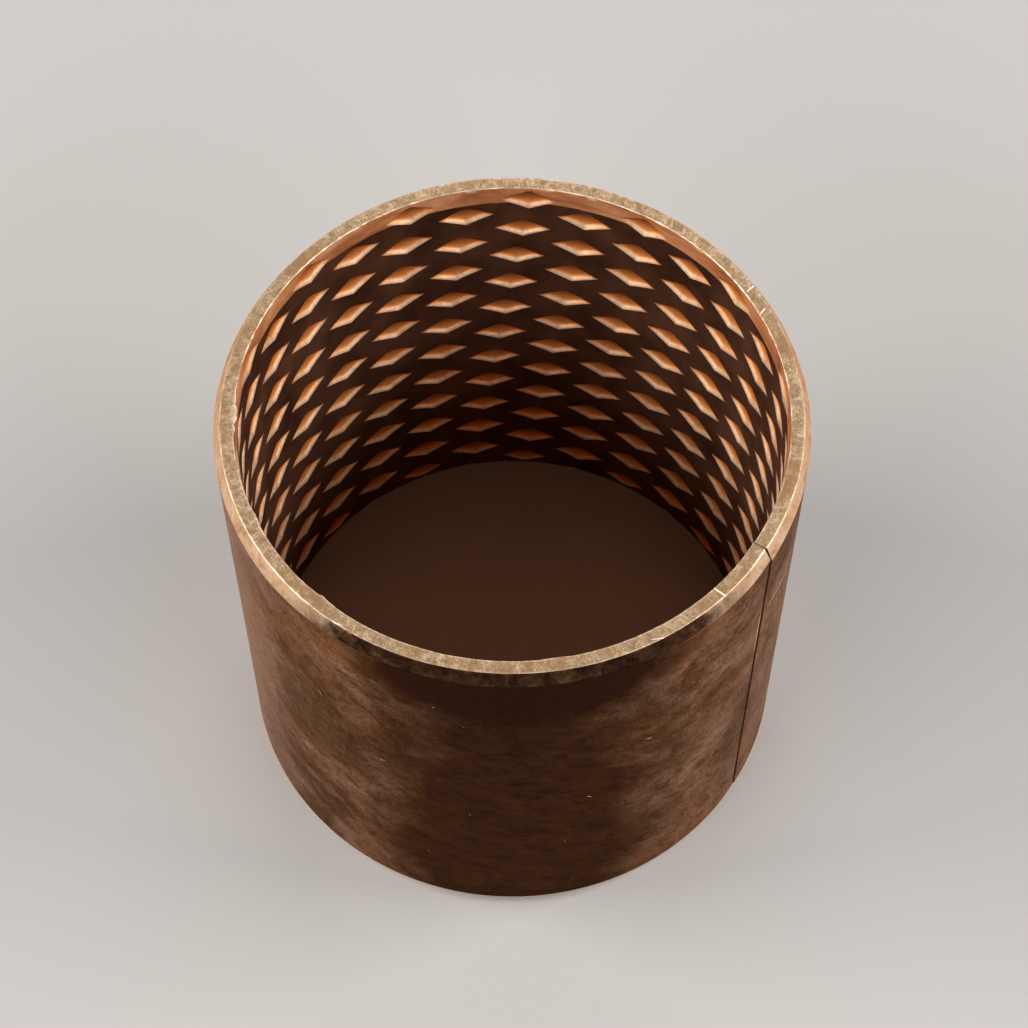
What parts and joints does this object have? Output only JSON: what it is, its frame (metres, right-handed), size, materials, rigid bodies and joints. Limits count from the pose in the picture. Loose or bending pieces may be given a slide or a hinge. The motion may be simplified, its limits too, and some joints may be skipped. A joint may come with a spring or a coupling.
{
  "type": "wrapped sleeve bushing",
  "caption": "Wrapped solid bronze sleeve bushing: a rolled strip with one straight butt seam, chamfered ends and rhombic grease pockets in the bore.",
  "frame": {"origin": "centre of the lower end face, on the bore axis", "axes": "+Z along the bore axis, +X through the butt seam"},
  "size_m": [0.065, 0.065, 0.06],
  "materials": {
    "tin_bronze": "worn brushed bronze"
  },
  "bodies": {
    "root": {"wrapped_sleeve": "tin_bronze"}
  },
  "joints": []
}
